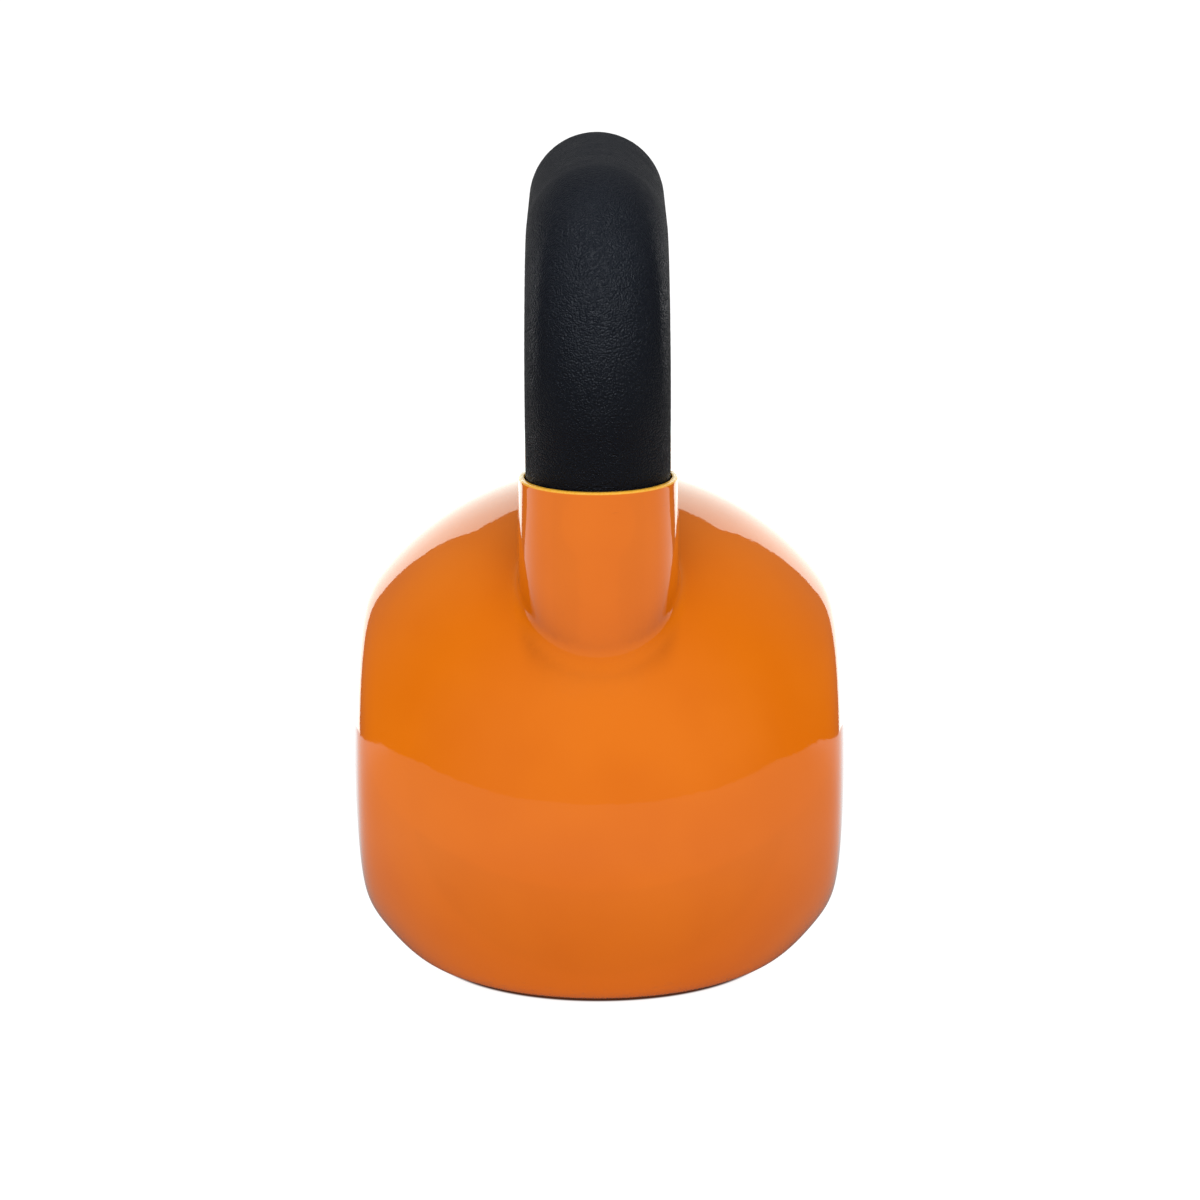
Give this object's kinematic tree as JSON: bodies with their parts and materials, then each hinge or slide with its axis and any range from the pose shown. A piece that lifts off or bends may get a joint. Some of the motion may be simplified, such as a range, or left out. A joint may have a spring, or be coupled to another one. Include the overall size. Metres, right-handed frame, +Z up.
{
  "type": "kettlebell",
  "caption": "Cast iron kettlebell with flat front and back faces, a glossy dipped vinyl coat on ball and lower horns, and a textured coat on the looped handle.",
  "frame": {"origin": "centre of the flat base, on the surface it stands on", "axes": "+Z up, +X along the grip, +Y from the back flat face to the front flat face"},
  "size_m": [0.148, 0.121, 0.2025],
  "materials": {
    "iron": "as cast, hidden under the coats",
    "handle_texture": "fine leather-like grain, low sheen",
    "vinyl": "smooth glossy dipped vinyl"
  },
  "bodies": {
    "root": {"iron_casting": "iron", "handle_coat": "handle_texture", "vinyl_coat": "vinyl"}
  },
  "joints": []
}
